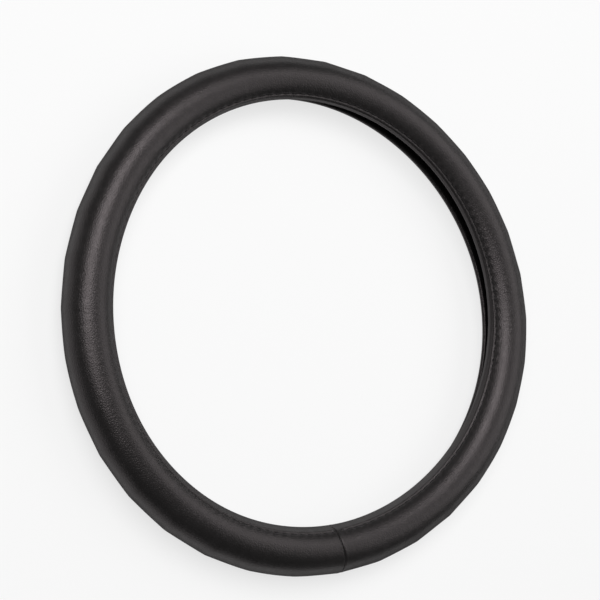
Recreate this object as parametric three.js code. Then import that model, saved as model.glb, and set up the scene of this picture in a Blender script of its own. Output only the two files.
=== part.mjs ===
// Steering wheel cover: a leather skin with sewn edges, stretched round a moulded rubber ring.
//
// The cover lies on its back, as it comes to rest on a table. +Z points out of its front, the
// side that faces the driver, and +Y points to twelve o'clock. All sizes are in millimetres.
//
// The grip is a C-shaped section swept round the ring. A direction inside that section is an
// angle: zero points up to the front, and a quarter turn points to the middle of the ring. A
// place round the ring is a turn, counted from three o'clock towards twelve o'clock.

import * as THREE from 'three';

const degree = Math.PI / 180;

// The ring and its grip
const outerDiameter = 390;
const gripDiameter = 36;
const footWidth = 6;

// The flats that the rubber's moulded segments leave on the outer side
const flatCount = 34;
const flatDepth = 0.45;
const stationsPerFlat = 2;

// The two lips of the opening that takes the rim of the wheel. The front lip reaches further round
// the grip at six o'clock than at twelve o'clock.
const frontLipAngle = 77 * degree;
const frontLipSwing = 12 * degree;
const rearLipAngle = 138 * degree;

// The layers
const leatherThickness = 1.2;
const rubberThickness = 2.5;
const rubberLipThickness = 1.2;
const layerClearance = 0.3;

// The turned edge and the groove that its stitches sink into
const hemLength = 11;
const hemRise = 0.25;
const stitchInset = 8;
const grooveWidth = 2.4;
const grooveDepth = 0.9;

// The sewn joint at six o'clock
const jointTurn = -90 * degree;
const jointWidth = 2.2;
const jointFloorWidth = 1.2;
const jointDepth = 0.8;

// The thread
const threadWidth = 0.9;
const threadHeight = 0.6;
const threadSink = 0.25;
const threadPinch = 0.55;
const edgePitch = 7.7;
const edgeStartGap = 8;
const edgeEndGap = 3;
const jointPitch = 3.1;
const jointThreadWidth = 0.8;
const jointThreadHeight = 0.45;

// The ribs inside the rubber that keep the cover from slipping on the rim
const ribCount = 5;
const ribHeight = 1;

// How finely the round stretches are stepped
const frontSteps = 9;
const backSteps = 1;
const innerSteps = 7;
const lipRoundAngles = [60 * degree, 120 * degree];

const gripRadius = gripDiameter / 2;
const ringRadius = outerDiameter / 2 - gripRadius;
const footAngle = Math.asin(footWidth / 2 / gripRadius);
const gripHeight = gripRadius * Math.cos(footAngle);

const leatherInside = gripRadius - leatherThickness;
const rubberOutside = leatherInside - layerClearance;
const rubberLipInside = rubberOutside - rubberLipThickness;
const rubberInside = rubberOutside - rubberThickness;
const hemOutside = rubberLipInside - layerClearance;
const hemInside = hemOutside - leatherThickness;
const lipRadius = (gripRadius - hemInside) / 2;
const lipMiddle = gripRadius - lipRadius;

const stationCount = flatCount * stationsPerFlat;
const stationStep = 2 * Math.PI / stationCount;

const front = 1;
const back = -1;

// A point of the section: how far it reaches towards the middle of the ring, and how high.
const sectionPoint = (reach, angle) => new THREE.Vector2(reach * Math.sin(angle), reach * Math.cos(angle));

// How far the outer side is pressed in at this turn: nothing at the corners between two flats.
function flatSag(turn) {
  const flat = 2 * Math.PI / flatCount;
  const fromCorner = THREE.MathUtils.euclideanModulo(turn - jointTurn, flat);
  const fromMiddle = fromCorner / flat * 2 - 1;
  return flatDepth * (1 - fromMiddle ** 2);
}

// Between two stations the skin is straight, so a point there lies a little nearer the middle.
function facetShare(turn) {
  const fromStation = THREE.MathUtils.euclideanModulo(turn - jointTurn, stationStep);
  return Math.cos(stationStep / 2) / Math.cos(fromStation - stationStep / 2);
}

// Carries a point of the section to its place on the ring.
function onRing(turn, point) {
  const outerShare = Math.max(0, -point.x / gripRadius);
  const distance = (ringRadius - point.x - flatSag(turn) * outerShare) * facetShare(turn);
  return new THREE.Vector3(
    distance * Math.cos(turn),
    distance * Math.sin(turn),
    gripHeight + point.y,
  );
}

// The direction of a lip's tip at this turn.
function tipAngle(side, turn) {
  return side === front ? frontLipAngle - frontLipSwing * Math.sin(turn) : rearLipAngle - 2 * Math.PI;
}

// The direction that lies a given length back from an edge's tip.
const backFromTip = (side, turn, length, reach) => tipAngle(side, turn) - side * length / reach;
const lipAngle = (side, turn) => backFromTip(side, turn, lipRadius, lipMiddle);
const hemAngle = (side, turn) => backFromTip(side, turn, hemLength, hemInside);
const stitchAngle = (side, turn) => backFromTip(side, turn, stitchInset, gripRadius);
const grooveEdge = (side, turn) => stitchAngle(side, turn) - side * grooveWidth / 2 / gripRadius;

const spread = (from, to, steps) => Array.from({ length: steps + 1 }, (_, i) => from + (to - from) * i / steps);

// Directions of the skin's outer points from one groove to the other, with the flat foot between.
function outerAngles(turn) {
  const footStart = footAngle - Math.PI;
  const footEnd = -footAngle - Math.PI;
  return [
    ...spread(grooveEdge(front, turn), footStart, frontSteps),
    ...spread(footEnd, grooveEdge(back, turn), backSteps),
  ];
}

// Directions of the points where the skin lies on the rubber, from the front lip to the back one.
function layerAngles(turn) {
  return spread(lipAngle(front, turn), lipAngle(back, turn), innerSteps);
}

// Half of a circle's points round the folded lip, from the outer side to the inner side.
function lipRound(side, turn) {
  const angle = lipAngle(side, turn);
  const middle = sectionPoint(lipMiddle, angle);
  const outward = sectionPoint(1, angle);
  const onward = new THREE.Vector2(Math.cos(angle), -Math.sin(angle)).multiplyScalar(side);
  return lipRoundAngles.map((u) => middle.clone()
    .addScaledVector(outward, lipRadius * Math.cos(u))
    .addScaledVector(onward, lipRadius * Math.sin(u)));
}

// The stitch groove, the raised band, the folded lip and the hem that is turned in behind it.
function turnedEdge(side, turn) {
  const stitch = stitchAngle(side, turn);
  const lip = lipAngle(side, turn);
  const hem = hemAngle(side, turn);
  return [
    sectionPoint(gripRadius - grooveDepth, stitch),
    sectionPoint(gripRadius + hemRise, stitch + side * grooveWidth / 2 / gripRadius),
    sectionPoint(gripRadius + hemRise, lip),
    ...lipRound(side, turn),
    sectionPoint(hemInside, lip),
    sectionPoint(hemInside, hem),
    sectionPoint(hemOutside, hem),
    sectionPoint(hemOutside, lip),
  ];
}

function leatherSection({ turn, dip }) {
  const outer = outerAngles(turn).map((angle) => sectionPoint(gripRadius - dip, angle));
  const inner = layerAngles(turn).map((angle) => sectionPoint(leatherInside, angle));
  return [
    ...outer,
    ...turnedEdge(back, turn),
    ...inner.reverse(),
    ...turnedEdge(front, turn).reverse(),
  ];
}

function rubberSection({ turn }) {
  const lipClearance = layerClearance / lipMiddle;
  const ends = [front, back].map((side) => lipAngle(side, turn) - side * lipClearance);
  const steps = [front, back].map((side) => hemAngle(side, turn) - side * lipClearance);
  const outer = layerAngles(turn);
  outer[0] = ends[0];
  outer[innerSteps] = ends[1];
  const ribbed = spread(steps[1], steps[0], 2 * ribCount);
  return [
    ...outer.map((angle) => sectionPoint(rubberOutside, angle)),
    sectionPoint(rubberLipInside, ends[1]),
    sectionPoint(rubberLipInside, steps[1]),
    ...ribbed.map((angle, i) => sectionPoint(rubberInside - (i % 2) * ribHeight, angle)),
    sectionPoint(rubberLipInside, steps[0]),
    sectionPoint(rubberLipInside, ends[0]),
  ];
}

// A closed body from rings of points. Rings that don't close on each other get end faces.
function loft(rings, isClosed) {
  const width = rings[0].length;
  const index = [];
  const spans = isClosed ? rings.length : rings.length - 1;
  for (let i = 0; i < spans; i += 1) {
    const here = i * width;
    const there = (i + 1) % rings.length * width;
    for (let j = 0; j < width; j += 1) {
      const k = (j + 1) % width;
      index.push(here + j, here + k, there + k);
      index.push(here + j, there + k, there + j);
    }
  }
  if (!isClosed) {
    const last = (rings.length - 1) * width;
    for (let j = 1; j < width - 1; j += 1) {
      index.push(0, j + 1, j);
      index.push(last, last + j, last + j + 1);
    }
  }
  const geometry = new THREE.BufferGeometry().setFromPoints(rings.flat());
  geometry.setIndex(index);
  geometry.computeVertexNormals();
  return geometry;
}

const evenStations = Array.from({ length: stationCount }, (_, i) => ({ turn: jointTurn + i * stationStep, dip: 0 }));

// The skin has four stations at its joint instead of one, for the two sides and the floor.
function leatherStations() {
  const atJoint = (offset, dip) => ({ turn: jointTurn + offset / ringRadius, dip });
  return [
    atJoint(-jointWidth / 2, 0),
    atJoint(-jointFloorWidth / 2, jointDepth),
    atJoint(jointFloorWidth / 2, jointDepth),
    atJoint(jointWidth / 2, 0),
    ...evenStations.slice(1),
  ];
}

function sweep(stations, section) {
  const rings = stations.map((station) => section(station).map((point) => onRing(station.turn, point)));
  return loft(rings, true);
}

// Each stitch is a raised middle between two pinched ends that dive into the leather.
const isPinched = (ring) => ring % 2 === 0;

// The stitches of one edge, in the groove beside it, from one side of the joint to the other.
function edgeStitching(side) {
  const radius = ringRadius - gripRadius;
  const start = jointTurn + edgeStartGap / radius;
  const end = jointTurn + 2 * Math.PI - edgeEndGap / radius;
  const stitches = Math.round((end - start) * radius / edgePitch);
  const base = gripRadius - threadSink;
  const rings = spread(start, end, 2 * stitches).map((turn, ring) => {
    const size = isPinched(ring) ? threadPinch : 1;
    const halfAngle = threadWidth / 2 / base * size;
    const corner = (reach, offset) => onRing(turn, sectionPoint(reach, stitchAngle(side, turn) + offset));
    return [corner(base, halfAngle), corner(base + threadHeight * size, 0), corner(base, -halfAngle)];
  });
  return loft(rings, false);
}

// The stitches across the joint, on the floor of its groove.
function jointStitching() {
  const angles = outerAngles(jointTurn);
  const base = gripRadius - jointDepth + layerClearance;
  const startAngle = angles[0];
  const length = (startAngle - angles[angles.length - 1]) * gripRadius;
  const stitches = Math.round(length / jointPitch);
  const halfTurn = jointThreadWidth / 2 / ringRadius;
  const rings = spread(0, angles.length - 1, 2 * stitches).map((place, ring) => {
    const size = isPinched(ring) ? threadPinch : 1;
    const corner = (reach, offset) => {
      const at = Math.min(Math.floor(place), angles.length - 2);
      const here = onRing(jointTurn + offset, sectionPoint(reach, angles[at]));
      const next = onRing(jointTurn + offset, sectionPoint(reach, angles[at + 1]));
      return here.lerp(next, place - at);
    };
    return [corner(base, halfTurn * size), corner(base + jointThreadHeight * size, 0), corner(base, -halfTurn * size)];
  });
  return loft(rings, false);
}

const leather = new THREE.MeshStandardMaterial({ color: 0x2b2727, roughness: 0.5, metalness: 0 });
const rubber = new THREE.MeshStandardMaterial({ color: 0x141414, roughness: 0.85, metalness: 0 });
const thread = new THREE.MeshStandardMaterial({ color: 0x353233, roughness: 0.8, metalness: 0 });

function named(name, geometry, material) {
  const mesh = new THREE.Mesh(geometry, material);
  mesh.name = name;
  return mesh;
}

const cover = new THREE.Group();
cover.add(
  named('leather_cover', sweep(leatherStations(), leatherSection), leather),
  named('rubber_ring', sweep(evenStations, rubberSection), rubber),
  named('front_edge_stitching', edgeStitching(front), thread),
  named('rear_edge_stitching', edgeStitching(back), thread),
  named('joint_stitching', jointStitching(), thread),
);

export default cover;
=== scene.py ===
import math

import bpy
import numpy as np
from mathutils import Matrix, Vector


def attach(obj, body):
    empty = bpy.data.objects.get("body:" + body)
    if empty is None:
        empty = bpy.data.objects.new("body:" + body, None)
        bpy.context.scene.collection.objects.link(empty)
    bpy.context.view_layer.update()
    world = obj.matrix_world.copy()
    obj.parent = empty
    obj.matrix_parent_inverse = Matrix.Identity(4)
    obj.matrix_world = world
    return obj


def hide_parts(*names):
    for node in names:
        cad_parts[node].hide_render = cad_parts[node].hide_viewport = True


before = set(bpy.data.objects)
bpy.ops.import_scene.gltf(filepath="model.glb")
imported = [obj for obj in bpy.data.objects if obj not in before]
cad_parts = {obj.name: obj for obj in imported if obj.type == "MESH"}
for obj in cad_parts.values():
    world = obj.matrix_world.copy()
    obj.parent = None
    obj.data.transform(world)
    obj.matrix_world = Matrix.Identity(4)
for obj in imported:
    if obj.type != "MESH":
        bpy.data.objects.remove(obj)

# Steering wheel cover: leather skin, ribbed rubber ring, and the threads that sew the skin.
# Lengths in this script are millimetres and angles are radians. Meshes are made in metres.
#
# The grip is a C-shaped section swept round the ring. An angle in the section is zero at the
# front, up from the floor, and a quarter turn points to the middle of the ring. A turn is a place
# round the ring, counted from three o'clock towards twelve o'clock.

MM = 0.001
FULL_TURN = 2 * math.pi
FRONT, BACK = 1, -1
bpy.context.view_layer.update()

# The ring and its grip, as in the solids
ring_width = 390.0
grip_radius = 18.0
foot_width = 6.0
front_lip_angle = math.radians(77)
front_lip_swing = math.radians(12)
rear_lip_angle = math.radians(138)

ring_radius = ring_width / 2 - grip_radius
foot_angle = math.asin(foot_width / 2 / grip_radius)
grip_height = grip_radius * math.cos(foot_angle)

# The soft flats that the rubber's moulded segments leave on the outer side. Two slow waves
# round the ring make their depths uneven: share of the depth, waves round the ring, phase.
flat_count = 34
flat_depth = 0.5
corner_softness = 0.12
corner_rise = 0.67
flat_waves = [(0.4, 5, 1.0), (0.25, 11, 0.0)]

# The cover is not quite round: it bulges a little in three places
bulge = 1.36
bulge_count = 3
bulge_turn = math.radians(-14.3)

# The front lip is stretched a little further round the grip, and unevenly, than in the solids
lip_stretch = math.radians(3)
lip_oval = math.radians(6)
lip_oval_turn = math.radians(130)

# The layers
leather_thickness = 1.2
rubber_thickness = 2.5
rubber_lip_thickness = 1.2
layer_clearance = 0.3

leather_inside = grip_radius - leather_thickness
rubber_outside = leather_inside - layer_clearance
rubber_lip_inside = rubber_outside - rubber_lip_thickness
rubber_inside = rubber_outside - rubber_thickness
hem_outside = rubber_lip_inside - layer_clearance
hem_inside = hem_outside - leather_thickness
lip_radius = (grip_radius - hem_inside) / 2
lip_middle = grip_radius - lip_radius

# The turned edge. In the scene the front one is wider than in the solids, most at the lower
# left, and as wide as in the solids at nine o'clock.
hem_length = 11.0
hem_rise = 0.25
hem_blend = 1.6
hem_stretch = 2.5
hem_swing = 4.0
hem_swing_turn = math.radians(235)
hem_narrow_turn = math.radians(170)
hem_narrow_reach = math.radians(34)
hem_corner = 0.15
hem_corner_angle = 0.004
hem_fold_angle = 0.012

# The groove that the edge stitches lie in, the ridge and the bead beside it, and the puckers.
# It starts on one side of the joint and ends on the other. For each, two distances from the
# joint: where it begins to show, and where it has its full depth.
stitch_inset = 8.0
groove_width = 2.4
groove_depth = 1.05
groove_hole_share = 0.15
groove_floor_share = 0.15
groove_start = (4, 9)
groove_end = (1, 3)
ridge_height = 0.12
ridge_place = -0.8 * groove_width
ridge_reach = 1.1
ridge_hole_share = 0.3
bead_height = 0.1
bead_place = 1.4
bead_reach = 0.9
pucker_height = 0.28
pucker_place = 0.6 * groove_width
pucker_reach = 1.7

# The edge stitches
edge_stitches = 150
edge_thread_radius = 0.45
edge_thread_sink = 0.8
edge_thread_lift = 0.12
edge_thread_share = 0.74
edge_start_gap = 9.0
edge_end_gap = 3.5

# The sewn joint at six o'clock, slightly aslant. A low ridge on either side of it has a height,
# a place beside the joint and a reach.
joint_turn = math.radians(-90)
joint_shift = -0.9
joint_slant = -2.7
joint_width = 1.9
joint_depth = 0.95
joint_hole_share = 0.15
joint_ridges = [(0.1, 1.7, 1.1), (0.05, -1.6, 1.0)]
joint_pitch = 2.6
joint_thread_radius = 0.3
joint_thread_sink = 0.65
joint_thread_lift = 0.1
joint_thread_share = 0.8

# The joint's thread stays this far above the floor. Where the grip faces up there is room.
floor_gap = 0.15
least_downward = 0.1

# The shallow waviness of the whole skin: two waves round the ring that slant over the grip
wave_height = 0.08
wave_counts = (3, 7)
wave_bend = 1.1

# A stitch: the depth and rate of its twist, its thinnest share and how blunt its ends are
twist_depth = 0.13
twist_rate = 5
thinnest_share = 0.02
end_bluntness = 7
stitch_rings = 13
stitch_sides = 12

# The ribs inside the rubber
rib_count = 5
rib_height = 1.0
rib_sharpness = 1.5

# How finely the skin and the rubber are stepped
stations_per_stitch = 4
joint_reach = 6.0
joint_step = 0.28
front_step = 0.4
rear_step = 0.8
past_stitch = 3.0
outer_steps = 51
inner_steps = 7
lip_steps = 7
hem_steps = 4
rubber_stations = 360
rubber_outer_steps = 39
steps_per_rib = 8


def hump(distance, reach):
    """One at no distance, falling smoothly to almost nothing at twice the reach."""
    return np.exp(-(distance / reach) ** 2)


def smooth_step(low, high, value):
    share = np.clip((value - low) / (high - low), 0, 1)
    return share * share * (3 - 2 * share)


def tip_angle(side, turn):
    """Direction of a lip's tip in the section. The front lip reaches further at six o'clock."""
    if side == BACK:
        return rear_lip_angle - FULL_TURN + 0 * turn
    stretch = lip_stretch + lip_oval * np.cos(2 * (turn - lip_oval_turn))
    return front_lip_angle - front_lip_swing * np.sin(turn) + stretch


def lip_angle(side, turn):
    return tip_angle(side, turn) - side * lip_radius / lip_middle


def hem_extra(side, turn):
    """How much wider than in the solids the turned edge is at this turn."""
    if side == BACK:
        return 0 * turn
    narrow = hump(2 * np.sin((turn - hem_narrow_turn) / 2), hem_narrow_reach)
    return (hem_stretch + hem_swing * np.cos(turn - hem_swing_turn)) * (1 - narrow)


def hem_angle(side, turn):
    return tip_angle(side, turn) - side * (hem_length + hem_extra(side, turn)) / hem_inside


def stitch_angle(side, turn):
    return tip_angle(side, turn) - side * (stitch_inset + hem_extra(side, turn)) / grip_radius


def section_points(reach, angle):
    """Points of the section: how far towards the middle of the ring, and how high."""
    return np.stack(np.broadcast_arrays(reach * np.sin(angle), reach * np.cos(angle)), axis=-1)


def flat_sag(turn):
    """How far the outer side is pressed in at this turn: deep in a flat, least at its corners."""
    place = (turn - joint_turn) / FULL_TURN * flat_count
    from_middle = 2 * (place - np.floor(place)) - 1
    corner = np.sqrt(from_middle ** 2 + corner_softness ** 2)
    uneven = 1 + sum(share * np.sin(waves * turn + phase) for share, waves, phase in flat_waves)
    return flat_depth * (uneven * np.clip(1 - corner ** 2, 0, None) - corner_rise)


def out_of_round(turn):
    return bulge * np.cos(bulge_count * (turn - bulge_turn))


def on_ring(turn, points):
    """Carries section points to their place on the ring. turn has one value for each section."""
    outer_share = np.clip(-points[..., 0] / grip_radius, 0, None)
    distance = ring_radius - points[..., 0] - flat_sag(turn) * outer_share + out_of_round(turn)
    height = grip_height + points[..., 1]
    return np.stack([distance * np.cos(turn), distance * np.sin(turn), height], axis=-1)


def mesh_object(name, points, faces):
    """A smooth mesh object from points in millimetres and faces of any size."""
    mesh = bpy.data.meshes.new(name)
    mesh.from_pydata((points * MM).tolist(), [], faces)
    mesh.polygons.foreach_set("use_smooth", [True] * len(mesh.polygons))
    mesh.update()
    piece = bpy.data.objects.new(name, mesh)
    bpy.context.scene.collection.objects.link(piece)
    return piece


def swept_object(name, turn, section):
    """A closed section, given at each turn, carried round the ring and closed on itself."""
    points = on_ring(turn, section)
    stations, width = points.shape[:2]
    here = np.arange(stations)[:, None] * width
    there = (np.arange(stations)[:, None] + 1) % stations * width
    j = np.arange(width)[None, :]
    k = (j + 1) % width
    quads = np.stack([here + j, here + k, there + k, there + j], axis=-1).reshape(-1, 4)
    return mesh_object(name, points.reshape(-1, 3), quads.tolist())


# The leather skin

def joint_place(angle):
    """How far the slanting joint lies from six o'clock at this angle of the section."""
    return joint_shift + joint_slant * np.sin(angle)


def from_six(turn):
    """Signed length from six o'clock along the ring, positive towards three o'clock."""
    return ((turn - joint_turn + math.pi) % FULL_TURN - math.pi) * ring_radius


def groove_profile(distance, half_width):
    """One at the bottom of a groove, falling smoothly to nothing at its edges."""
    return 1 - smooth_step(groove_floor_share * half_width, half_width, np.abs(distance))


def edge_relief(side, turn, angle, along):
    """The raised hem, the stitch groove and the puckers of one edge. Needle holes are deepest."""
    from_lip = side * (lip_angle(side, turn) - angle) * grip_radius
    from_stitch = side * (stitch_angle(side, turn) - angle) * grip_radius
    hole = np.cos((turn - joint_turn) * edge_stitches)
    band = smooth_step(0, hem_blend, from_lip)
    band = band * smooth_step(0.5 * groove_width, -0.2 * groove_width, from_stitch)
    groove = groove_depth * (1 - groove_hole_share + groove_hole_share * hole)
    groove = groove * groove_profile(from_stitch, groove_width / 2)
    ridge = ridge_height * (1 - ridge_hole_share * hole) * hump(from_stitch - ridge_place, ridge_reach)
    pucker = pucker_height * hole * hump(from_stitch - pucker_place, pucker_reach)
    bead = bead_height * hump(from_lip - bead_place, bead_reach)
    sewn = np.where(along > 0, smooth_step(*groove_start, along), smooth_step(*groove_end, -along))
    return hem_rise * band + bead + (ridge - groove - pucker) * sewn


def joint_relief(along, angle):
    """The groove of the sewn joint with its needle holes, and the ridges beside it."""
    hole = np.cos(angle * grip_radius / joint_pitch * FULL_TURN)
    depth = joint_depth * (1 - joint_hole_share + joint_hole_share * hole)
    ridges = sum(height * hump(along - place, reach) for height, place, reach in joint_ridges)
    return ridges - depth * groove_profile(along, joint_width / 2)


def waviness(turn, angle):
    slow = np.sin(wave_counts[0] * turn + wave_bend * np.sin(2 * angle))
    fast = np.sin(wave_counts[1] * turn + angle)
    return wave_height * slow * fast


def leather_relief(turn, angle):
    """How far the skin's outer face stands out from the plain round grip."""
    along = from_six(turn) - joint_place(angle)
    edges = sum(edge_relief(side, turn, angle, along) for side in (FRONT, BACK))
    return edges + joint_relief(along, angle) + waviness(turn, angle)


def leather_turns():
    """Stations round the ring, even for the stitches and closer together at the joint."""
    count = edge_stitches * stations_per_stitch
    even = joint_turn + np.arange(count) / count * FULL_TURN
    kept = even[np.abs(from_six(even)) > joint_reach + joint_step]
    near = joint_turn + np.arange(-joint_reach, joint_reach, joint_step) / ring_radius
    first = joint_turn - FULL_TURN / 16
    return np.sort((np.concatenate([near, kept]) - first) % FULL_TURN) + first


def lip_round(side, turn):
    """The folded lip between the outer face and the hem, without its two ends."""
    angle = lip_angle(side, turn)
    u = np.linspace(0, math.pi, lip_steps + 2)[1:-1][None, :, None]
    middle = section_points(lip_middle, angle)
    outward = section_points(1.0, angle)
    onward = side * np.stack([np.cos(angle), -np.sin(angle)], axis=-1)
    return middle + lip_radius * (np.cos(u) * outward + np.sin(u) * onward)


def leather_hem(side, turn):
    """The turned-in hem behind the lip, along its inside to its edge and back along its outside."""
    lip = lip_angle(side, turn)
    hem = hem_angle(side, turn)
    angles = lip + (hem - lip) * np.linspace(0, 1, hem_steps + 1)[None, :]
    middle = (hem_inside + hem_outside) / 2
    return np.concatenate([
        section_points(hem_inside, angles[:, :-1]),
        section_points(hem_inside + hem_corner, hem + side * hem_corner_angle),
        section_points(middle, hem - side * hem_fold_angle),
        section_points(hem_outside - hem_corner, hem + side * hem_corner_angle),
        section_points(hem_outside, angles[:, ::-1][:, 1:]),
    ], axis=1)


def outer_face(turn):
    """The skin's outer face from the front lip to the rear lip, finely stepped at the stitches."""
    front_end = stitch_inset + hem_stretch + hem_swing + past_stitch
    front_fine = np.arange(0, front_end, front_step) / grip_radius
    rear_fine = np.arange(0, stitch_inset + past_stitch, rear_step) / grip_radius
    first = lip_angle(FRONT, turn) - front_fine[None, :]
    last = (lip_angle(BACK, turn) + rear_fine[None, :])[:, ::-1]
    share = np.linspace(0, 1, outer_steps + 1)[1:-1][None, :]
    middle = first[:, -1:] + (last[:, :1] - first[:, -1:]) * share
    angle = np.concatenate([first, middle, last], axis=1)
    face = section_points(grip_radius + leather_relief(turn, angle), angle)
    face[..., 1] = np.maximum(face[..., 1], -grip_height)
    return face


def inner_face(turn):
    front, back = lip_angle(FRONT, turn), lip_angle(BACK, turn)
    angle = back + (front - back) * np.linspace(0, 1, inner_steps + 1)[None, :]
    return section_points(leather_inside, angle)


def make_leather():
    turn = leather_turns()[:, None]
    section = np.concatenate([
        outer_face(turn),
        lip_round(BACK, turn),
        leather_hem(BACK, turn),
        inner_face(turn),
        leather_hem(FRONT, turn)[:, ::-1],
        lip_round(FRONT, turn)[:, ::-1],
    ], axis=1)
    piece = swept_object("leather_skin", turn, section)
    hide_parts("leather_cover")
    return piece


# The rubber ring

def make_rubber():
    turn = (joint_turn + np.arange(rubber_stations) / rubber_stations * FULL_TURN)[:, None]
    clear = layer_clearance / lip_middle
    lip_front, lip_back = (lip_angle(side, turn) - side * clear for side in (FRONT, BACK))
    hem_front, hem_back = (hem_angle(side, turn) - side * 2 * clear for side in (FRONT, BACK))
    outer = lip_front + (lip_back - lip_front) * np.linspace(0, 1, rubber_outer_steps + 1)[None, :]
    share = np.linspace(0, 1, steps_per_rib * rib_count + 1)[None, :]
    ribbed = hem_back + (hem_front - hem_back) * share
    rib = rib_height * (0.5 - 0.5 * np.cos(share * rib_count * FULL_TURN)) ** rib_sharpness
    section = np.concatenate([
        section_points(rubber_outside, outer),
        section_points(rubber_lip_inside, lip_back),
        section_points(rubber_lip_inside, hem_back),
        section_points(rubber_inside - rib, ribbed),
        section_points(rubber_lip_inside, hem_front),
        section_points(rubber_lip_inside, lip_front),
    ], axis=1)
    piece = swept_object("rubber_liner", turn, section)
    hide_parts("rubber_ring")
    return piece


# The threads

def stitch_template(length, radius, lift):
    """One stitch: a twisted thread that rises in the middle and dives at its two ends."""
    u = np.linspace(-1, 1, stitch_rings)[:, None]
    theta = np.linspace(0, FULL_TURN, stitch_sides, endpoint=False)[None, :]
    blunt = (1 - np.abs(u) ** end_bluntness) ** 0.5
    size = radius * blunt * (1 + twist_depth * np.cos(2 * theta + twist_rate * u))
    size = np.maximum(size, thinnest_share * radius)
    along = u * length / 2 + 0 * theta
    aside = size * np.cos(theta)
    up = size * np.sin(theta) + lift * (1 - u ** 2 - u ** 6)
    points = np.stack([along, aside, up], axis=-1).reshape(-1, 3)
    i = np.arange(stitch_rings - 1)[:, None] * stitch_sides
    j = np.arange(stitch_sides)[None, :]
    k = (j + 1) % stitch_sides
    quads = np.stack([i + j, i + k, i + stitch_sides + k, i + stitch_sides + j], axis=-1)
    first_end = list(range(stitch_sides))[::-1]
    last_end = list(range((stitch_rings - 1) * stitch_sides, stitch_rings * stitch_sides))
    return points, quads.reshape(-1, 4).tolist() + [first_end, last_end]


def stitch_row(name, centres, along, outward, template):
    """A row of stitches as one piece, each in the frame that its place gives."""
    stitch, faces = template
    aside = np.cross(outward, along)
    points = (
        centres[:, None]
        + stitch[None, :, 0:1] * along[:, None]
        + stitch[None, :, 1:2] * aside[:, None]
        + stitch[None, :, 2:3] * outward[:, None]
    )
    starts = [i * len(stitch) for i in range(len(centres))]
    all_faces = [[corner + start for corner in face] for start in starts for face in faces]
    return mesh_object(name, points.reshape(-1, 3), all_faces)


def unit(vectors):
    return vectors / np.linalg.norm(vectors, axis=-1, keepdims=True)


def surface_frames(turn, angle, reach):
    """Places on the grip with the directions along the ring, along the section and outwards."""
    def place(t, a, r):
        return on_ring(t[:, None], section_points(r, a[:, None]))[:, 0]
    small = 1e-3
    centre = place(turn, angle, reach)
    ring_way = unit(place(turn + small, angle, reach) - place(turn - small, angle, reach))
    section_way = unit(place(turn, angle + small, reach) - place(turn, angle - small, reach))
    outward = unit(place(turn, angle, reach + 1.0) - centre)
    return centre, ring_way, section_way, outward


def make_edge_stitches(side, name, node):
    turn = joint_turn + (np.arange(edge_stitches) + 0.5) / edge_stitches * FULL_TURN
    along = from_six(turn)
    turn = turn[(along < -edge_end_gap) | (along > edge_start_gap)]
    reach = grip_radius - edge_thread_sink
    centre, ring_way, _, outward = surface_frames(turn, stitch_angle(side, turn), reach)
    pitch = FULL_TURN * (ring_radius - grip_radius) / edge_stitches
    template = stitch_template(pitch * edge_thread_share, edge_thread_radius, edge_thread_lift)
    piece = stitch_row(name, centre, ring_way, outward, template)
    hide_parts(node)
    return piece


def make_joint_stitches():
    start = stitch_angle(FRONT, joint_turn) - groove_width / grip_radius
    end = stitch_angle(BACK, joint_turn) + groove_width / grip_radius
    count = round((start - end) * grip_radius / joint_pitch)
    angle = start + (end - start) * (np.arange(count) + 0.5) / count
    turn = joint_turn + joint_place(angle) / ring_radius
    downward = np.maximum(-np.cos(angle), least_downward)
    above_floor = (grip_height - joint_thread_radius - floor_gap) / downward
    reach = np.minimum(grip_radius - joint_thread_sink, above_floor)
    centre, _, section_way, outward = surface_frames(turn, angle, reach[:, None])
    length = joint_pitch * joint_thread_share
    template = stitch_template(length, joint_thread_radius, joint_thread_lift)
    piece = stitch_row("joint_thread", centre, section_way, outward, template)
    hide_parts("joint_stitching")
    return piece


# Materials. A texture's scale is in features per metre, and a bump's depth is in metres.

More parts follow.
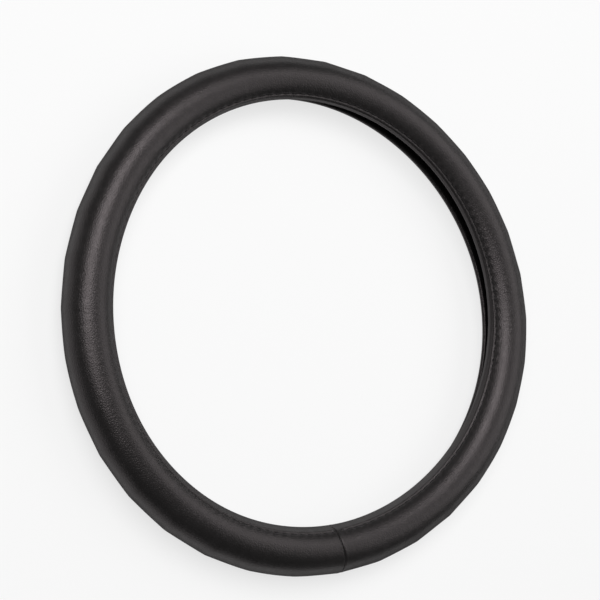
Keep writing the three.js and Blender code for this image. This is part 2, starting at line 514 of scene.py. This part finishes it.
class Nodes:
    """A short way to write a material's node tree."""

    def __init__(self, name):
        self.material = bpy.data.materials.new(name)
        self.material.use_nodes = True
        self.tree = self.material.node_tree
        self.shader = self.tree.nodes["Principled BSDF"]
        self.place = self.add("ShaderNodeTexCoord").outputs["Object"]

    def add(self, kind, inputs=None, **settings):
        node = self.tree.nodes.new(kind)
        for key, value in settings.items():
            setattr(node, key, value)
        for key, value in (inputs or {}).items():
            self.set(node.inputs[key], value)
        return node

    def set(self, socket, value):
        if isinstance(value, bpy.types.NodeSocket):
            self.tree.links.new(value, socket)
        else:
            socket.default_value = value

    def shade(self, **inputs):
        """Sets the shader's inputs. An underscore in a name stands for a space."""
        for name, value in inputs.items():
            self.set(self.shader.inputs[name.replace("_", " ")], value)

    def noise(self, scale, detail=4.0, roughness=0.5, at=None):
        inputs = {"Vector": at or self.place, "Scale": scale, "Detail": detail, "Roughness": roughness}
        return self.add("ShaderNodeTexNoise", inputs).outputs["Fac"]

    def cell_edges(self, scale):
        inputs = {"Vector": self.place, "Scale": scale}
        cells = self.add("ShaderNodeTexVoronoi", inputs, feature="DISTANCE_TO_EDGE")
        return cells.outputs["Distance"]

    def ramp(self, value, low, high, at_low, at_high):
        inputs = {"Value": value, "From Min": low, "From Max": high, "To Min": at_low, "To Max": at_high}
        return self.add("ShaderNodeMapRange", inputs, interpolation_type="SMOOTHSTEP").outputs["Result"]

    def mix(self, share, first, second):
        node = self.add("ShaderNodeMix", data_type="RGBA")
        self.set(node.inputs["Factor"], share)
        self.set(node.inputs["A"], first)
        self.set(node.inputs["B"], second)
        return node.outputs["Result"]

    def math(self, operation, first, second):
        return self.add("ShaderNodeMath", {0: first, 1: second}, operation=operation).outputs[0]

    def weighted(self, *terms):
        """Sum of values, each with its weight."""
        total, *others = [self.math("MULTIPLY", value, weight) for value, weight in terms]
        for other in others:
            total = self.math("ADD", total, other)
        return total

    def bump(self, height, distance, strength):
        inputs = {"Height": height, "Distance": distance, "Strength": strength}
        return self.add("ShaderNodeBump", inputs).outputs["Normal"]

    def across_grip(self, shortening):
        """Coordinates of full length along the ring and shortened across the grip."""
        parts = self.add("ShaderNodeSeparateXYZ", {0: self.place}).outputs
        turn = self.math("ARCTAN2", parts["Y"], parts["X"])
        flat = self.add("ShaderNodeCombineXYZ", {"X": parts["X"], "Y": parts["Y"]}).outputs[0]
        reach = self.add("ShaderNodeVectorMath", {0: flat}, operation="LENGTH").outputs["Value"]
        inputs = {
            "X": self.math("MULTIPLY", turn, ring_radius * MM),
            "Y": self.math("MULTIPLY", reach, shortening),
            "Z": self.math("MULTIPLY", parts["Z"], shortening),
        }
        return self.add("ShaderNodeCombineXYZ", inputs).outputs[0]


def leather_material():
    """Dark leather with small pebbled grain and a soft sheen, which the grain scatters at a slant."""
    m = Nodes("grained_leather")
    wander = m.noise(170, 3)
    pebbles = m.ramp(m.cell_edges(620), 0.0, 0.35, 0.0, 1.0)
    gathers = m.noise(420, 2, at=m.across_grip(0.25))
    fine = m.noise(1900, 2)
    broad = m.noise(14, 3)
    height = m.weighted((pebbles, 0.5), (fine, 0.12), (wander, 0.4), (gathers, 0.7))
    # Two tones of the leather's own colour vary at random. The crease colour is painted shade: it
    # darkens the hollows between the grain's pebbles, where the bump sinks the surface.
    darker = (0.0095, 0.0093, 0.0091, 1)
    lighter = (0.0125, 0.0121, 0.0119, 1)
    crease_shade = (0.0055, 0.0054, 0.0053, 1)
    colour = m.mix(m.ramp(pebbles, 0.0, 1.0, 0.4, 0.0), m.mix(broad, darker, lighter), crease_shade)
    worn = m.weighted((wander, 0.6), (broad, 0.4))
    facing = m.add("ShaderNodeLayerWeight", {"Blend": 0.5}).outputs["Facing"]
    scatter = m.ramp(facing, 0.35, 0.85, 0.0, 0.45)
    m.shade(
        Base_Color=colour,
        Roughness=m.math("ADD", m.ramp(worn, 0.3, 0.7, 0.33, 0.41), scatter),
        Normal=m.bump(height, 0.00016, 0.8),
        Specular_IOR_Level=0.46,
        Specular_Tint=(1.0, 0.89, 0.91, 1),
    )
    return m.material


def rubber_material():
    """Matt black rubber with the fine grain of its mould."""
    m = Nodes("moulded_rubber")
    grain = m.noise(900, 4, 0.6)
    broad = m.noise(30, 2)
    m.shade(
        Base_Color=m.mix(broad, (0.009, 0.009, 0.010, 1), (0.015, 0.015, 0.016, 1)),
        Roughness=m.ramp(grain, 0.3, 0.7, 0.62, 0.8),
        Normal=m.bump(grain, 0.0001, 0.6),
    )
    return m.material


def thread_material():
    """Black thread whose fibres show as fine noise."""
    m = Nodes("waxed_thread")
    fibre = m.noise(5200, 3, 0.6)
    broad = m.noise(60, 2)
    m.shade(
        Base_Color=m.mix(broad, (0.008, 0.0078, 0.0078, 1), (0.014, 0.0135, 0.0135, 1)),
        Roughness=m.ramp(fibre, 0.3, 0.7, 0.65, 0.85),
        Normal=m.bump(fibre, 0.00006, 0.7),
        Specular_IOR_Level=0.2,
    )
    return m.material


def dress(piece, material):
    piece.data.materials.clear()
    piece.data.materials.append(material)
    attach(piece, "root")


# The studio. Places and sizes are in metres here, and powers in watts.
floor_half = 4.0
floor_glow_share = 0.72
world_strength = 0.08
key_place, key_size, key_power = (-0.47, 0.62, 1.74), (1.9, 0.9), 33
fill_place, fill_size, fill_power = (1.20, 0.20, 1.15), (2.0, 1.2), 13


def floor_material():
    """Pale, with shadows. Camera, glossy and transmission rays see most of it as plain white."""
    m = Nodes("white_floor")
    m.shade(
        Base_Color=m.mix(m.noise(3, 2), (0.80, 0.80, 0.80, 1), (0.82, 0.82, 0.82, 1)),
        Roughness=0.9,
        Specular_IOR_Level=0.1,
    )
    glow = m.add("ShaderNodeEmission", {"Color": (1, 1, 1, 1), "Strength": 1.0})
    path = m.add("ShaderNodeLightPath").outputs
    rays = ("Is Camera Ray", "Is Glossy Ray", "Is Transmission Ray")
    share = m.weighted(*[(path[ray], floor_glow_share) for ray in rays])
    mixed = m.add("ShaderNodeMixShader", {"Fac": share, 1: m.shader.outputs[0], 2: glow.outputs[0]})
    m.tree.links.new(mixed.outputs[0], m.tree.nodes["Material Output"].inputs["Surface"])
    return m.material


def make_floor():
    corners = [(x * floor_half, y * floor_half, 0) for x, y in ((-1, -1), (1, -1), (1, 1), (-1, 1))]
    mesh = bpy.data.meshes.new("floor")
    mesh.from_pydata(corners, [], [(0, 1, 2, 3)])
    mesh.materials.append(floor_material())
    floor = bpy.data.objects.new("floor", mesh)
    bpy.context.scene.collection.objects.link(floor)


def make_world():
    """Pale grey to the camera, and a dim even light to all else."""
    world = bpy.data.worlds.new("studio")
    world.use_nodes = True
    tree = world.node_tree
    room = tree.nodes["Background"]
    room.inputs["Color"].default_value = (1, 1, 1, 1)
    room.inputs["Strength"].default_value = world_strength
    seen = tree.nodes.new("ShaderNodeBackground")
    seen.inputs["Color"].default_value = (0.8, 0.8, 0.8, 1)
    seen.inputs["Strength"].default_value = 1.0
    path = tree.nodes.new("ShaderNodeLightPath")
    mixed = tree.nodes.new("ShaderNodeMixShader")
    tree.links.new(path.outputs["Is Camera Ray"], mixed.inputs["Fac"])
    tree.links.new(room.outputs[0], mixed.inputs[1])
    tree.links.new(seen.outputs[0], mixed.inputs[2])
    tree.links.new(mixed.outputs[0], tree.nodes["World Output"].inputs["Surface"])
    bpy.context.scene.world = world


def make_lamp(name, place, size, power):
    """A soft rectangular lamp that points to the middle of the ring."""
    light = bpy.data.lights.new(name, "AREA")
    light.shape = "RECTANGLE"
    light.size, light.size_y = size
    light.energy = power
    lamp = bpy.data.objects.new(name, light)
    lamp.location = place
    aim = Vector((0, 0, grip_height * MM)) - Vector(place)
    lamp.rotation_euler = aim.to_track_quat("-Z", "Y").to_euler()
    bpy.context.scene.collection.objects.link(lamp)


# The camera stands off the ring's axis, on the nine o'clock side, and looks down on the cover.
camera_distance = 1267.5
camera_tilt = math.radians(29.02)
camera_side = math.radians(186.506)
camera_roll = math.radians(-6.272)
aim_right = math.radians(-0.2506)
aim_up = math.radians(0.4702)
camera_lens = 101.3
sensor_width = 36


def make_camera():
    away = Vector((
        math.sin(camera_tilt) * math.cos(camera_side),
        math.sin(camera_tilt) * math.sin(camera_side),
        math.cos(camera_tilt),
    ))
    right = (-away).cross(Vector((0, 1, 0))).normalized()
    up = right.cross(-away)
    roll_cos, roll_sin = math.cos(camera_roll), math.sin(camera_roll)
    right, up = roll_cos * right + roll_sin * up, roll_cos * up - roll_sin * right
    forward = (-away + math.tan(aim_right) * right + math.tan(aim_up) * up).normalized()
    right = forward.cross(up).normalized()
    up = right.cross(forward)
    camera = bpy.data.objects.new("camera", bpy.data.cameras.new("camera"))
    place = Vector((0, 0, grip_height * MM)) + away * camera_distance * MM
    facing = Matrix((right, up, -forward)).transposed().to_4x4()
    camera.matrix_world = Matrix.Translation(place) @ facing
    camera.data.lens = camera_lens
    camera.data.sensor_width = sensor_width
    bpy.context.scene.collection.objects.link(camera)
    bpy.context.scene.camera = camera


leather = leather_material()
rubber = rubber_material()
thread = thread_material()
dress(make_leather(), leather)
dress(make_rubber(), rubber)
dress(make_edge_stitches(FRONT, "front_edge_thread", "front_edge_stitching"), thread)
dress(make_edge_stitches(BACK, "rear_edge_thread", "rear_edge_stitching"), thread)
dress(make_joint_stitches(), thread)

make_floor()
make_world()
make_lamp("key_lamp", key_place, key_size, key_power)
make_lamp("fill_lamp", fill_place, fill_size, fill_power)
make_camera()
bpy.context.scene.view_settings.view_transform = "Standard"
